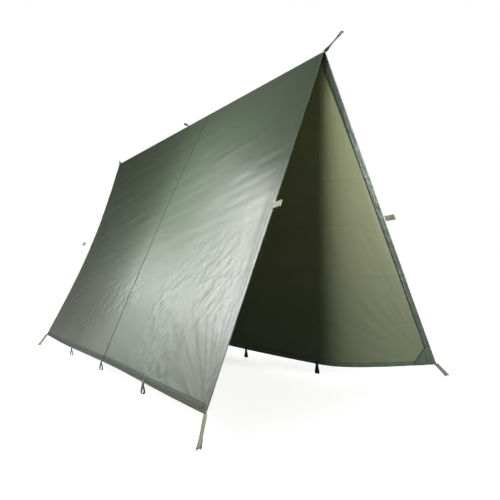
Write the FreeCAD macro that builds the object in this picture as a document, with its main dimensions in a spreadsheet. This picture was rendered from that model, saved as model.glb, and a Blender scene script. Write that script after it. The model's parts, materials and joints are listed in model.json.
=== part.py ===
"""Ridge-pitched tarp shelter: one coated sheet folded over a ridge, with sewn hems,
corner patches and webbing loops, in millimetres.

The sheet is drawn pitched: X runs across the tent, Y from the open front to the open
back, Z up, with the ground at Z = 0.  Every slope is a set of straight rulings that run
from the crest of the ridge to the bottom hem, so each cloth piece takes its place from
the same few hem points.
"""
import FreeCAD
import Part
import math
import os

import Sketcher

Vector = FreeCAD.Vector
UP = Vector(0, 0, 1)

SIZES = (
    # the sheet as it is pitched
    ("ridge_length", 3000),
    ("ridge_height", 1960),
    ("crest_radius", 12),
    ("cloth_thickness", 2),
    ("soft_clearance", 0.4),
    ("least_clearance", 0.05),
    ("seam_on_ridge", 1173),
    ("front_fold_on_ridge", 60),
    ("back_fold_on_ridge", 60),
    # left slope: how far each hem point stands out from the ridge line
    ("left_front_out", 787),
    ("left_quarter_out", 711),
    ("left_middle_out", 685),
    ("left_rear_quarter_out", 689),
    ("left_back_out", 709),
    ("left_hem_height", 84),
    ("left_front_height", 115),
    ("left_back_height", 112),
    ("left_front_set_back", 27),
    ("left_hem_set_back", 22),
    ("left_back_set_back", 21),
    # right slope: its front corner is pulled out and forward, which draws the hem in
    ("right_front_out", 883),
    ("right_quarter_out", 400),
    ("right_middle_out", 376),
    ("right_rear_quarter_out", 420),
    ("right_back_out", 600),
    ("right_hem_height", 78),
    ("right_front_height", 101),
    ("right_back_height", 100),
    ("right_front_set_back", -144),
    ("right_hem_set_back", -315),
    ("right_back_set_back", -337),
    # hems, seam and patches
    ("hem_width", 38),
    ("facing_thickness", 1.5),
    ("facing_inset", 1),
    ("facing_start", 120),
    ("seam_width", 18),
    ("corner_patch_leg", 130),
    ("ridge_patch_length", 90),
    ("tack_length", 26),
    ("tack_height", 16),
    ("tack_thickness", 1),
    ("tack_clearance", 0.7),
    ("loop_beside_fold", 22),
    # webbing
    ("webbing_width", 25),
    ("webbing_thickness", 1.5),
    ("strap_length", 140),
    ("strap_stitched", 80),
    ("strap_eye_radius", 5),
    ("hem_loop_length", 64),
    ("hem_loop_stitched", 12),
    ("hem_loop_eye_radius", 8),
    ("edge_loop_width", 34),
    ("edge_loop_length", 62),
    ("edge_loop_stitched", 12),
    ("edge_loop_eye_radius", 5),
    # directions of the pulled straps, in degrees
    ("left_front_strap_turn", 230),
    ("left_back_strap_turn", 130),
    ("right_front_strap_turn", -14),
    ("right_back_strap_turn", 45),
    ("ridge_strap_rise", 25),
    ("back_strap_turn", 69),
    ("ridge_loop_rise", 32),
)

STATIONS = ("front", "quarter", "middle", "rear_quarter", "back")

doc = FreeCAD.newDocument("tarp_shelter")


def make_sheet():
    """The driving dimensions, one named cell each."""
    sheet = doc.addObject("Spreadsheet::Sheet", "Sizes")
    for row, (name, value) in enumerate(SIZES, start=1):
        sheet.set(f"A{row}", name)
        sheet.set(f"B{row}", str(value))
        sheet.setAlias(f"B{row}", name)
    doc.recompute()
    return sheet


sizes = make_sheet()


def size(name):
    return float(sizes.get(name))


# ---------------------------------------------------------------- pieces and frames

parts = []
pivots = []


def keep(piece, name):
    """Names a finished sub-part and lists it for export."""
    piece.Label = name
    parts.append(piece)
    return piece


def unit(vector):
    return Vector(vector).normalize()


def frame(origin, x_axis, y_axis, z_axis):
    """A placement whose local axes lie along three directions at right angles."""
    return FreeCAD.Placement(origin, FreeCAD.Rotation(x_axis, y_axis, z_axis, "ZXY"))


def new_sketch(body, role):
    """An empty sketch on one of the body's own origin planes."""
    sketch = body.newObject("Sketcher::SketchObject", body.Name + "_profile")
    plane = next(f for f in body.Origin.OriginFeatures if f.Role == role)
    sketch.AttachmentSupport = (plane, "")
    sketch.MapMode = "FlatFace"
    return sketch


def bind(sketch, name, constraint, expression):
    """Adds a named constraint and ties its value to the sheet."""
    index = sketch.addConstraint(constraint)
    sketch.renameConstraint(index, name)
    sketch.setExpression(f"Constraints.{name}", expression)


def pad(body, sketch, expression):
    """A pad of the sketch, half to each side of its plane."""
    feature = body.newObject("PartDesign::Pad", body.Name + "_pad")
    feature.Profile = sketch
    feature.SideType = "Symmetric"
    feature.setExpression("Length", expression)
    sketch.Visibility = False
    return feature


# ---------------------------------------------------------------- the slopes' rulings


def crest(y):
    """A point on the hinge line inside the rolled crest of the ridge."""
    return Vector(0, y, size("ridge_height") - size("crest_radius"))


def strap_hang(height):
    """How far a pulled strap leans, as (sideways, down) shares of its length, when its
    round end rests on the ground and its pivot is at this height."""
    end = size("strap_eye_radius") + size("webbing_thickness")
    down = (height - end) / (size("strap_length") - end)
    return math.sqrt(1 - down * down), down


def strap_direction(side, end):
    """Direction of a corner strap, from its pivot to its peg."""
    turn = math.radians(size(f"{side}_{end}_strap_turn"))
    lean, down = strap_hang(size(f"{side}_{end}_height"))
    return Vector(lean * math.cos(turn), lean * math.sin(turn), -down)


def hem_point(side, station):
    """The point where a ruling meets the bottom edge of the cloth's inner face."""
    sign = -1 if side == "left" else 1
    share = STATIONS.index(station) / (len(STATIONS) - 1)
    corner = station in ("front", "back")
    set_back = size(f"{side}_{station if corner else 'hem'}_set_back")
    height = size(f"{side}_{station if corner else 'hem'}_height")
    x = sign * size(f"{side}_{station}_out")
    point = Vector(x, share * size("ridge_length") + set_back, height)
    if corner:
        point -= strap_direction(side, station) * root_offset()
    return point


def root_offset():
    """Distance from a loop's pivot to the cloth edge that it is sewn to."""
    return size("webbing_thickness") + size("soft_clearance")


def top_point(side, y, hem, beside):
    """The upper end of a ruling, where it touches the cylinder round the crest.

    The cloth also folds from there towards the hem point beside it, so the end stands
    further off where that fold would otherwise come too near the crest."""
    sign = -1 if side == "left" else 1
    run, fold = hem - crest(y), beside - crest(y)
    outward = unit(Vector(-sign * run.z, 0, sign * run.x))
    turn = Vector(run.x, 0, run.z).getAngle(Vector(fold.x, 0, fold.z))
    touching = size("crest_radius") + size("soft_clearance")
    folding = (size("crest_radius") + size("least_clearance")) / math.cos(turn)
    return crest(y) + outward * max(touching, folding)


def ridge_station(side, station):
    """Where a ruling starts along the ridge."""
    seam = size("seam_on_ridge")
    length = size("ridge_length")
    folded = side == "right"
    starts = {
        "front": 0,
        "quarter": size("front_fold_on_ridge") if folded else seam / 2,
        "middle": seam,
        "rear_quarter": length - size("back_fold_on_ridge") if folded else (seam + length) / 2,
        "back": length,
    }
    return starts[station]


class Slope:
    """The rulings of one slope and the local frames that its pieces are laid in."""

    def __init__(self, side):
        self.side = side
        self.hem = {s: hem_point(side, s) for s in STATIONS}
        self.top = {}
        for station in STATIONS:
            beside = self.hem[inner_station(station)]
            y = ridge_station(side, station)
            self.top[station] = top_point(side, y, self.hem[station], beside)

    def along(self, station, up):
        """The point on a ruling at a distance up from the hem."""
        low = self.hem[station]
        return low + unit(self.top[station] - low) * up

    def corner(self, end):
        """Hem direction, edge direction and outward normal of the flat field at a corner."""
        near, beside = self.hem[end], self.hem[inner_station(end)]
        hem_dir = unit(beside - near)
        edge_dir = unit(self.top[end] - near)
        normal = unit(hem_dir.cross(edge_dir))
        return hem_dir, edge_dir, self.outward(normal)

    def outward(self, normal):
        sign = -1 if self.side == "left" else 1
        return normal if normal.x * sign > 0 else normal * -1

    def hem_field(self, start, end):
        """Direction along the hem, up the cloth and outward, beside a hem point."""
        along = unit(self.hem[end] - self.hem[start])
        climb = self.top[start] - self.hem[start]
        up = unit(climb - along * climb.dot(along))
        return along, up, self.outward(unit(along.cross(up)))


def inner_station(station):
    """The next station towards the middle of the slope."""
    index, middle = STATIONS.index(station), STATIONS.index("middle")
    step = (index < middle) - (index > middle)
    return STATIONS[index + step]


slopes = {side: Slope(side) for side in ("left", "right")}


# ---------------------------------------------------------------- cloth of any shape


def cell_triangles(grid, row, column, rising):
    """The two triangles of one grid cell, split along the chosen diagonal."""
    a, b = (row, column), (row, column + 1)
    c, d = (row + 1, column + 1), (row + 1, column)
    if rising:
        return [(a, b, c), (a, c, d)]
    return [(a, b, d), (b, c, d)]


def sheet_solid(grid, rising, inward, outward_of):
    """A closed sheet over a grid of inner-face points.

    rising says for each column which diagonal folds its cells; inward is how far the
    sheet's two faces lie from the grid, as (near, far) along the outward normals."""
    rows, columns = len(grid), len(grid[0])
    triangles = []
    for row in range(rows - 1):
        for column in range(columns - 1):
            triangles += cell_triangles(grid, row, column, rising[column])
    normals = {(r, c): Vector() for r in range(rows) for c in range(columns)}
    for triangle in triangles:
        p, q, s = (grid[r][c] for r, c in triangle)
        normal = (q - p).cross(s - p)
        normal = outward_of(normal)
        for key in triangle:
            normals[key] += normal
    levels = []
    for distance in inward:
        levels.append({k: grid[k[0]][k[1]] + unit(n) * distance for k, n in normals.items()})
    faces = []
    for level in levels:
        for triangle in triangles:
            faces.append(three_sided(*(level[key] for key in triangle)))
    for first, second in border(rows, columns):
        a, b = levels[0][first], levels[0][second]
        c, d = levels[1][second], levels[1][first]
        faces += [three_sided(a, b, c), three_sided(a, c, d)]
    solid = Part.Solid(Part.makeShell(faces))
    if solid.Volume < 0:
        solid.reverse()
    return solid


def three_sided(a, b, c):
    return Part.Face(Part.makePolygon([a, b, c, a]))


def border(rows, columns):
    """The grid's outer edge, as pairs of neighbouring points."""
    ring = [(0, c) for c in range(columns)]
    ring += [(r, columns - 1) for r in range(1, rows)]
    ring += [(rows - 1, c) for c in range(columns - 2, -1, -1)]
    ring += [(r, 0) for r in range(rows - 2, 0, -1)]
    return list(zip(ring, ring[1:] + ring[:1]))


def cloth_feature(name, shape):
    feature = doc.addObject("Part::Feature", name)
    feature.Shape = shape
    feature.Placement = FreeCAD.Placement()
    return keep(feature, name)


def panel(side, name, stations, rising):
    """One width of cloth, from the crest to the hem, between the stations named."""
    slope = slopes[side]
    seam_gap = size("soft_clearance") / 2
    rows = ([], [], [])
    for station in stations:
        shift = Vector()
        if station == "middle":
            shift.y = seam_gap if stations[0] == "middle" else -seam_gap
        rows[0].append(slope.top[station] + shift)
        rows[1].append(slope.along(station, size("hem_width")) + shift)
        rows[2].append(slope.hem[station] + shift)
    faces_at = (0, size("cloth_thickness"))
    return cloth_feature(name, sheet_solid(rows, rising, faces_at, slope.outward))


def bottom_hem(side):
    """The turned-up hem on the inner face, along the whole bottom edge."""
    slope = slopes[side]
    low = [slope.along(s, size("facing_inset")) for s in STATIONS]
    high = [slope.along(s, size("hem_width")) for s in STATIONS]
    near = -size("soft_clearance")
    faces_at = (near - size("facing_thickness"), near)
    folds = (True, True, False, False)
    shape = sheet_solid((high, low), folds, faces_at, slope.outward)
    return cloth_feature(f"{side}_bottom_hem", shape)


# ---------------------------------------------------------------- flat sewn-on pieces


def layer_depth(layers):
    """How deep under the cloth the far face of a number of facing layers lies."""
    return layers * (size("soft_clearance") + size("facing_thickness"))


def edge_facing(side, end):
    """The turned hem down an open end, between the ridge patch and the bottom hem."""
    slope = slopes[side]
    hem_dir, edge_dir, normal = slope.corner(end)
    across = unit(hem_dir - edge_dir * hem_dir.dot(edge_dir))
    lean = max(hem_dir.dot(edge_dir), 0) / hem_dir.cross(edge_dir).Length
    low = size("hem_width") * (1 + lean) + size("soft_clearance")
    whole = (slope.top[end] - slope.hem[end]).Length
    strip = doc.addObject("Part::Box", f"{side}_{end}_hem")
    strip.Length = whole - low - size("facing_start")
    strip.setExpression("Width", "Sizes.hem_width - Sizes.facing_inset")
    strip.setExpression("Height", "Sizes.facing_thickness")
    origin = slope.hem[end] + edge_dir * low + across * size("facing_inset")
    lay_flat(strip, origin, edge_dir, across, normal, layer_depth(1))
    return keep(strip, f"{side}_{end}_hem")


def lay_flat(piece, origin, x_axis, y_axis, normal, depth):
    """Lays a plate whose thickness is local Z at a depth under the cloth's inner face."""
    z_axis = x_axis.cross(y_axis)
    if z_axis.dot(normal) > 0:
        base = origin - normal * depth
    else:
        base = origin - normal * (depth - size("facing_thickness"))
    piece.Placement = frame(base, x_axis, y_axis, z_axis)


def centre_seam(side):
    """The felled seam that joins the two widths, lying on the back one."""
    slope = slopes[side]
    run = slope.top["middle"] - slope.hem["middle"]
    edge_dir = unit(run)
    ridge_dir = slope.top["rear_quarter"] - slope.top["middle"]
    across = unit(ridge_dir - edge_dir * ridge_dir.dot(edge_dir))
    normal = slope.outward(unit(edge_dir.cross(across)))
    low = size("hem_width") + size("soft_clearance")
    strip = doc.addObject("Part::Box", f"{side}_centre_seam")
    strip.Length = run.Length - low - size("seam_width")
    strip.setExpression("Width", "Sizes.seam_width")
    strip.setExpression("Height", "Sizes.facing_thickness")
    origin = slope.hem["middle"] + edge_dir * low + across * size("soft_clearance")
    lay_flat(strip, origin, edge_dir, across, normal, layer_depth(1))
    return keep(strip, f"{side}_centre_seam")


def corner_patch(side, end):
    """The three-sided reinforcement inside a corner, over both hems."""
    slope = slopes[side]
    hem_dir, edge_dir, normal = slope.corner(end)
    angle = hem_dir.getAngle(edge_dir)
    body = doc.addObject("PartDesign::Body", f"{side}_{end}_corner_patch")
    sketch = new_sketch(body, "XY_Plane")
    leg = size("corner_patch_leg")
    tip = Vector(leg * math.cos(angle), leg * math.sin(angle), 0)
    outline = (Vector(), Vector(leg, 0, 0), tip)
    for start, finish in zip(outline, outline[1:] + outline[:1]):
        sketch.addGeometry(Part.LineSegment(start, finish))
    for line in range(3):
        sketch.addConstraint(Sketcher.Constraint("Coincident", line, 2, (line + 1) % 3, 1))
    sketch.addConstraint(Sketcher.Constraint("Coincident", 0, 1, -1, 1))
    sketch.addConstraint(Sketcher.Constraint("Horizontal", 0))
    sketch.addConstraint(Sketcher.Constraint("Angle", 0, 1, 2, 2, angle))
    leg_expression = "Sizes.corner_patch_leg"
    bind(sketch, "hem_leg", Sketcher.Constraint("Distance", 0, leg), leg_expression)
    bind(sketch, "edge_leg", Sketcher.Constraint("Distance", 2, leg), leg_expression)
    pad(body, sketch, "Sizes.facing_thickness")
    across = unit(edge_dir - hem_dir * edge_dir.dot(hem_dir))
    z_axis = hem_dir.cross(across)
    middle = layer_depth(2) - size("facing_thickness") / 2
    inset = (hem_dir + across) * size("facing_inset")
    body.Placement = frame(slope.hem[end] + inset - normal * middle, hem_dir, across, z_axis)
    return keep(body, f"{side}_{end}_corner_patch")


def tack(origin, along, up, normal, name):
    """A stitched patch on the outer face, centred on a point of the cloth edge."""
    plate = doc.addObject("Part::Box", name)
    plate.setExpression("Length", "Sizes.tack_length")
    plate.setExpression("Width", "Sizes.tack_height")
    plate.setExpression("Height", "Sizes.tack_thickness")
    z_axis = along.cross(up)
    out = size("cloth_thickness") + size("tack_clearance")
    if z_axis.dot(normal) < 0:
        out += size("tack_thickness")
    corner = origin - along * (size("tack_length") / 2) + up * size("facing_inset")
    plate.Placement = frame(corner + normal * out, along, up, z_axis)
    return plate


def tack_patches(side):
    """The stitched patches where the slope's loops are sewn on, as one group."""
    slope = slopes[side]
    plates = []
    for start, towards in loop_fields():
        along, up, normal = slope.hem_field(start, towards)
        spot = slope.hem[start] + along * size("loop_beside_fold")
        plates.append(tack(spot, along, up, normal, f"{side}_{start}_tack"))
    for end in ("front", "back"):
        spot, edge_dir, out, normal = edge_middle(slope, end)
        plates.append(tack(spot, edge_dir, out * -1, normal, f"{side}_{end}_edge_tack"))
    group = doc.addObject("Part::Compound", f"{side}_tack_patches")
    group.Links = plates
    return keep(group, f"{side}_tack_patches")


def loop_fields():
    """Hem stations that carry a loop, each with the station on its flat side."""
    return (("quarter", "middle"), ("middle", "rear_quarter"), ("rear_quarter", "middle"))


def edge_middle(slope, end):
    """Middle of an open edge: point, edge direction, way out of the cloth, normal."""
    hem_dir, edge_dir, normal = slope.corner(end)
    out = unit(edge_dir * hem_dir.dot(edge_dir) - hem_dir)
    spot = (slope.top[end] + slope.hem[end]) * 0.5
    return spot, edge_dir, out, normal


# ---------------------------------------------------------------- the ridge


def half_tube(name, radius, thickness, length, middle_y):
    """A half tube along the ridge, open downwards; sizes are sheet expressions."""
    body = doc.addObject("PartDesign::Body", name)
    sketch = new_sketch(body, "XZ_Plane")
    outer = size("crest_radius")
    inner = outer - size("cloth_thickness")
    for arc_radius in (outer, inner):
        circle = Part.Circle(Vector(), UP, arc_radius)
        sketch.addGeometry(Part.ArcOfCircle(circle, 0, math.pi))
    for sign in (1, -1):
        foot = (Vector(sign * inner, 0, 0), Vector(sign * outer, 0, 0))
        sketch.addGeometry(Part.LineSegment(*foot))
    for arc in (0, 1):
        sketch.addConstraint(Sketcher.Constraint("Coincident", arc, 3, -1, 1))
    for line, end in ((2, 1), (3, 2)):
        sketch.addConstraint(Sketcher.Constraint("Coincident", line, 1, 1, end))
        sketch.addConstraint(Sketcher.Constraint("Coincident", line, 2, 0, end))
        sketch.addConstraint(Sketcher.Constraint("Horizontal", line))
    sketch.addConstraint(Sketcher.Constraint("PointOnObject", 0, 1, -1))
    sketch.addConstraint(Sketcher.Constraint("PointOnObject", 0, 2, -1))
    bind(sketch, "outer", Sketcher.Constraint("Radius", 0, outer), radius)
    inside = f"({radius}) - ({thickness})"
    bind(sketch, "inner", Sketcher.Constraint("Radius", 1, inner), inside)
    pad(body, sketch, length)
    body.Placement = FreeCAD.Placement(crest(middle_y), FreeCAD.Rotation())
    return keep(body, name)


def ridge():
    """The rolled crest in two widths, the seam across it and its three patches."""
    length, seam = size("ridge_length"), size("seam_on_ridge")
    gap = "Sizes.soft_clearance"
    crest_wall = ("Sizes.crest_radius", "Sizes.cloth_thickness")
    under = "Sizes.crest_radius - Sizes.cloth_thickness - Sizes.soft_clearance"
    lining = (under, "Sizes.facing_thickness")
    half_gap = size("soft_clearance") / 2
    front_length = f"Sizes.seam_on_ridge - {gap} / 2"
    half_tube("ridge_crest_front", *crest_wall, front_length, (seam - half_gap) / 2)
    back_length = f"Sizes.ridge_length - Sizes.seam_on_ridge - {gap} / 2"
    back_middle = (length + seam + half_gap) / 2
    half_tube("ridge_crest_back", *crest_wall, back_length, back_middle)
    half_tube("ridge_seam_strip", *lining, "Sizes.seam_width", seam)
    patch = "Sizes.ridge_patch_length"
    half_patch = size("ridge_patch_length") / 2
    half_tube("ridge_front_patch", *lining, patch, half_patch)
    half_tube("ridge_middle_patch", *lining, patch, length / 2)
    half_tube("ridge_back_patch", *lining, patch, length - half_patch)


# ---------------------------------------------------------------- webbing


def loop_profile(sketch, kind):
    """A webbing loop seen along its width: a round root at the pivot, two layers sewn
    together, then a round eye.  kind is the sheet's name for the loop's sizes."""
    wall = size("webbing_thickness")
    eye = size(f"{kind}_eye_radius")
    depth = size(f"{kind}_length") - eye - wall
    stitched = size(f"{kind}_stitched")
    flare = math.asin(eye / depth)
    taper = math.asin(eye / (depth - stitched))
    centre = Vector(0, -depth, 0)

    def arc(middle, radius, start, finish):
        circle = Part.Circle(middle, UP, radius)
        return sketch.addGeometry(Part.ArcOfCircle(circle, start, finish))

    def rim(middle, radius, angle):
        return middle + Vector(math.cos(angle), math.sin(angle), 0) * radius

    root = arc(Vector(), wall, flare, math.pi - flare)
    bow = arc(centre, eye + wall, math.pi - flare, 2 * math.pi + flare)
    left = (rim(Vector(), wall, math.pi - flare), rim(centre, eye + wall, math.pi - flare))
    right = (rim(centre, eye + wall, flare), rim(Vector(), wall, flare))
    left_side = sketch.addGeometry(Part.LineSegment(*left))
    right_side = sketch.addGeometry(Part.LineSegment(*right))
    hole = arc(centre, eye, math.pi - taper, 2 * math.pi + taper)
    point = Vector(0, -stitched, 0)
    left_in = (point, rim(centre, eye, math.pi - taper))
    right_in = (rim(centre, eye, taper), point)
    left_inside = sketch.addGeometry(Part.LineSegment(*left_in))
    right_inside = sketch.addGeometry(Part.LineSegment(*right_in))

    smooth = (
        (root, 2, left_side, 1),
        (left_side, 2, bow, 1),
        (bow, 2, right_side, 1),
        (right_side, 2, root, 1),
        (left_inside, 2, hole, 1),
        (hole, 2, right_inside, 1),
    )
    for joint in smooth:
        sketch.addConstraint(Sketcher.Constraint("Tangent", *joint))
    sketch.addConstraint(Sketcher.Constraint("Coincident", right_inside, 2, left_inside, 1))
    sketch.addConstraint(Sketcher.Constraint("Coincident", root, 3, -1, 1))
    sketch.addConstraint(Sketcher.Constraint("Coincident", hole, 3, bow, 3))
    sketch.addConstraint(Sketcher.Constraint("PointOnObject", bow, 3, -2))
    sketch.addConstraint(Sketcher.Constraint("PointOnObject", left_inside, 1, -2))
    wall_cell, eye_cell = "Sizes.webbing_thickness", f"Sizes.{kind}_eye_radius"
    bind(sketch, "root", Sketcher.Constraint("Radius", root, wall), wall_cell)
    bow_radius = f"{eye_cell} + {wall_cell}"
    bind(sketch, "bow", Sketcher.Constraint("Radius", bow, eye + wall), bow_radius)
    bind(sketch, "eye", Sketcher.Constraint("Radius", hole, eye), eye_cell)
    reach = Sketcher.Constraint("DistanceY", bow, 3, -1, 1, depth)
    bind(sketch, "reach", reach, f"Sizes.{kind}_length - {eye_cell} - {wall_cell}")
    sewn = Sketcher.Constraint("DistanceY", left_inside, 1, -1, 1, stitched)
    bind(sketch, "sewn", sewn, f"Sizes.{kind}_stitched")


def webbing_loop(name, kind, width, pivot, direction, axis):
    """A folded loop of webbing that swings about its sewn root."""
    body = doc.addObject("PartDesign::Body", name)
    sketch = new_sketch(body, "XZ_Plane")
    loop_profile(sketch, kind)
    pad(body, sketch, f"Sizes.{width}")
    z_axis = direction * -1
    y_axis = unit(axis - z_axis * axis.dot(z_axis))
    body.Placement = frame(pivot, y_axis.cross(z_axis), y_axis, z_axis)
    reach = size(f"{kind}_length") - size(f"{kind}_eye_radius") - size("webbing_thickness")
    pivots.append((name, pivot, y_axis, direction, reach))
    return keep(body, name)


def corner_strap(side, end):
    """A long strap pulled from a corner down to its peg."""
    direction = strap_direction(side, end)
    pivot = slopes[side].hem[end] + direction * root_offset()
    axis = unit(UP.cross(direction))
    name = f"{side}_{end}_corner_strap"
    return webbing_loop(name, "strap", "webbing_width", pivot, direction, axis)


def hem_loops(side):
    """The short loops that hang from the bottom hem."""
    slope = slopes[side]
    names = ("front", "middle", "back")
    for name, (start, towards) in zip(names, loop_fields()):
        along, up, normal = slope.hem_field(start, towards)
        edge = slope.hem[start] + along * size("loop_beside_fold")
        edge += normal * (size("cloth_thickness") / 2)
        pivot = edge - UP * root_offset()
        loop_name = f"{side}_hem_loop_{name}"
        axis = Vector(0, 1, 0)
        webbing_loop(loop_name, "hem_loop", "webbing_width", pivot, UP * -1, axis)


def edge_loops(side):
    """The tabs half-way down the open edges, standing out in line with the cloth."""
    for end in ("front", "back"):
        spot, edge_dir, out, normal = edge_middle(slopes[side], end)
        edge = spot + normal * (size("cloth_thickness") / 2)
        pivot = edge + out * root_offset()
        name = f"{side}_{end}_edge_loop"
        webbing_loop(name, "edge_loop", "edge_loop_width", pivot, out, edge_dir)


def ridge_loops():
    """The strap at each end of the ridge, and the loop on its middle."""
    rise = math.radians(size("ridge_strap_rise"))
    turn = math.radians(size("back_strap_turn"))
    level = size("ridge_height") - size("cloth_thickness") / 2
    width = "webbing_width"
    front = Vector(0, -math.cos(rise), math.sin(rise))
    pivot = Vector(0, -root_offset(), level)
    webbing_loop("front_ridge_strap", "strap", width, pivot, front, Vector(1, 0, 0))
    level_way = Vector(math.cos(turn), math.sin(turn), 0)
    back = level_way * math.cos(rise) + UP * math.sin(rise)
    low_side = size("crest_radius") - size("cloth_thickness") / 2 - root_offset()
    half_crown = math.sqrt(size("crest_radius") ** 2 - low_side**2)
    clear = root_offset() + half_crown / math.tan(turn)
    pivot = Vector(0, size("ridge_length") + clear, level)
    axis = UP.cross(level_way)
    webbing_loop("back_ridge_strap", "strap", width, pivot, back, axis)
    lift = math.radians(size("ridge_loop_rise"))
    lying = Vector(0, math.cos(lift), math.sin(lift))
    pivot = Vector(0, size("ridge_length") / 2, size("ridge_height") + root_offset())
    webbing_loop("ridge_middle_loop", "hem_loop", width, pivot, lying, Vector(1, 0, 0))


# ---------------------------------------------------------------- assembly


def build():
    ridge()
    for side in ("left", "right"):
        front, back = STATIONS[:3], STATIONS[2:]
        panel(side, f"{side}_panel_front", front, (True, True))
        panel(side, f"{side}_panel_back", back, (False, False))
        centre_seam(side)
        bottom_hem(side)
        for end in ("front", "back"):
            edge_facing(side, end)
            corner_patch(side, end)
        tack_patches(side)
        for end in ("front", "back"):
            corner_strap(side, end)
        hem_loops(side)
        edge_loops(side)
    ridge_loops()


def centre_on_ground():
    """Moves every piece so that the whole stands centred over the origin."""
    box = FreeCAD.BoundBox()
    for piece in parts:
        box.add(piece.Shape.BoundBox)
    shift = Vector(-box.Center.x, -box.Center.y, -box.ZMin)
    for piece in parts:
        placement = piece.Placement
        placement.Base = placement.Base + shift
        piece.Placement = placement
    return shift


def check():
    """Stops on any failed object or unsound sub-part."""
    for thing in doc.Objects:
        if "Invalid" in thing.State or "Error" in thing.State:
            raise RuntimeError(f"{thing.Label} failed: {thing.State}")
    for piece in parts:
        if piece.Shape.isNull() or not piece.Shape.isValid():
            raise RuntimeError(f"{piece.Label} has no sound shape")


def tell(shift):
    """Prints each joint's place and direction for the record."""
    def words(vector):
        return " ".join(f"{value:.4f}" for value in vector)

    print("CREST", words(crest(0) + shift))
    for name, pivot, axis, direction, reach in pivots:
        print("PIVOT", name, words(pivot + shift), words(axis), words(direction), f"{reach:.3f}")


build()
doc.recompute()
moved_by = centre_on_ground()
doc.recompute()
check()
tell(moved_by)
os.makedirs("parts", exist_ok=True)
for sub_part in parts:
    sub_part.Shape.exportStep(f"parts/{sub_part.Label}.step")
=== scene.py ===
import json
import math

import bpy
import numpy as np
from mathutils import Matrix, Vector


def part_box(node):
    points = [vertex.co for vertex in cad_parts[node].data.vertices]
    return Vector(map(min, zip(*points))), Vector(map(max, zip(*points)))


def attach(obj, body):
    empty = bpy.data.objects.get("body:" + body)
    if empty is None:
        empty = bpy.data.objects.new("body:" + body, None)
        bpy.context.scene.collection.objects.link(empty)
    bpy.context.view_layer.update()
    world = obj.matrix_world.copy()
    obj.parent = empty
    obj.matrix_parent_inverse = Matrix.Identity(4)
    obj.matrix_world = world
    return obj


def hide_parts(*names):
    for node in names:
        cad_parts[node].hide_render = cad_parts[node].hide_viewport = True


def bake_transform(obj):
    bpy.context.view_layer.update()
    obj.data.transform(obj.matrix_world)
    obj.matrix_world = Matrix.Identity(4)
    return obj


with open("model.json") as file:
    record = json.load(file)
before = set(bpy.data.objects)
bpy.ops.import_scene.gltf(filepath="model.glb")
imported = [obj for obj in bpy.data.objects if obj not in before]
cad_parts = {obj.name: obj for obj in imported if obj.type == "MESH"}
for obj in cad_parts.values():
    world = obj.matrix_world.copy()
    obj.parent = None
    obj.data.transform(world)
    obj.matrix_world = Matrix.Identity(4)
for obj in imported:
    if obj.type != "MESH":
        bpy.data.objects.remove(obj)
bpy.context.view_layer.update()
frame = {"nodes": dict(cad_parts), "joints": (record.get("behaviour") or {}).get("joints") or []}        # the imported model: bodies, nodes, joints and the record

bl_info = {
    "name": "Ridge tarp shelter",
    "version": (1, 0, 0),
    "blender": (4, 5, 0),
    "location": "3D View > Sidebar > Tarp",
    "description": "Makes a coated tarp pitched over a ridge, with its hems, seams and webbing",
    "category": "Object",
}

SIDES = ("left", "right")
ENDS = ("front", "back")
SEAM_STATION = 2.0
SHEET_LENGTH = 3.0
SLOPE_LENGTH = 2.0
QUARTER = SHEET_LENGTH / 4
CLOTH_STEP = 0.0105        # spacing of the cloth's points away from hems and seams
HEM_STEP = 0.0046          # spacing across a hem
EDGE_SHARE = 0.95          # where an edge hem is stitched, as a share of its width
HEM_STITCH = 0.003         # how far the hem's stitches are from its upper edge
MIDDLE = 0.5               # share of the slope at which the edge loops are sewn
# how far the cloth hangs in from straight, halfway down, at each station
SAG_IN = {
    "left": (0.004, -0.012, -0.020, 0.020, 0.062),
    "right": (0.004, 0.006, 0.010, 0.012, 0.030),
}


# ------------------------------------------------------------------ sizes and colours


class TarpClothSizes(bpy.types.PropertyGroup):
    """The coated cloth, its hems and its creases."""

    thickness: bpy.props.FloatProperty(
        name="Cloth thickness", description="How thick one layer is drawn",
        default=0.0012, min=0.0004, unit="LENGTH")
    hem_width: bpy.props.FloatProperty(
        name="Hem width", description="Width of the turned hems",
        default=0.037, min=0.01, unit="LENGTH")
    seam_width: bpy.props.FloatProperty(
        name="Seam width", description="Width of the felled centre seam",
        default=0.017, min=0.006, unit="LENGTH")
    patch_leg: bpy.props.FloatProperty(
        name="Corner patch leg", description="How far a corner patch runs along each hem",
        default=0.160, min=0.04, unit="LENGTH")
    crease_depth: bpy.props.FloatProperty(
        name="Crease depth", description="Height of the packing creases",
        default=0.0019, min=0.0, unit="LENGTH")
    wrinkle_depth: bpy.props.FloatProperty(
        name="Wrinkle depth", description="Height of the tension wrinkles",
        default=0.0030, min=0.0, unit="LENGTH")
    pucker_depth: bpy.props.FloatProperty(
        name="Pucker depth", description="Height of the puckers along stitched edges",
        default=0.0006, min=0.0, unit="LENGTH")
    outer_colour: bpy.props.FloatVectorProperty(
        name="Outer colour", description="Coated outer face",
        subtype="COLOR", size=3, default=(0.068, 0.094, 0.057))
    inner_colour: bpy.props.FloatVectorProperty(
        name="Inner colour", description="Inner face of the cloth",
        subtype="COLOR", size=3, default=(0.262, 0.286, 0.150))
    facing_colour: bpy.props.FloatVectorProperty(
        name="Facing colour", description="Double cloth of hems and patches",
        subtype="COLOR", size=3, default=(0.070, 0.100, 0.068))


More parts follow.
